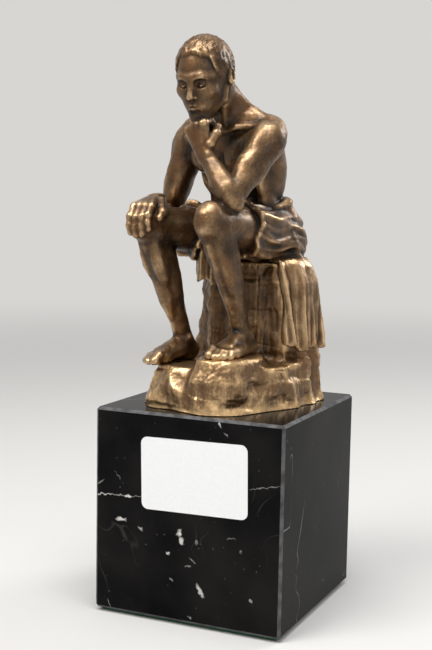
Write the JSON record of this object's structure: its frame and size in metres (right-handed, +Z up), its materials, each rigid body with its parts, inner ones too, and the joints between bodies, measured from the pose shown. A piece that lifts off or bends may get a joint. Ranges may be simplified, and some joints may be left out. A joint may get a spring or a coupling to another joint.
{
  "type": "thinker statue",
  "caption": "Bronze statue of a seated man in thought, chin on his fist, on a rough rock, screwed to a square marble block.",
  "frame": {"origin": "centre of the underside of the felt, where the statue stands on a table", "axes": "+Z up; -Y out of the front face of the block that carries the label; +X to the viewer's right, the figure's left"},
  "size_m": [0.088, 0.0889, 0.2504],
  "materials": {
    "bronze_figure": "cast bronze, brown patina rubbed golden on the high points",
    "bronze_rock": "cast bronze with chisel marks, dark brown patina",
    "steel_fastener": "zinc plated",
    "steel_bar": "plain mild steel",
    "brass_screw": "turned brass",
    "black_marble": "polished black marble with fine white veins and flecks",
    "green_felt": "wool felt",
    "label_paper": "matt self-adhesive paper, blank"
  },
  "bodies": {
    "root": {"seated_figure": "bronze_figure", "rock_mound": "bronze_rock", "figure_screw": "steel_fastener", "figure_washer": "steel_fastener", "mounting_bar": "steel_bar", "mounting_bar_screws": "brass_screw", "marble_block": "black_marble", "fixing_stud": "steel_fastener", "fixing_washer": "steel_fastener", "fixing_nut": "steel_fastener", "base_felt": "green_felt", "blank_label": "label_paper"}
  },
  "joints": []
}
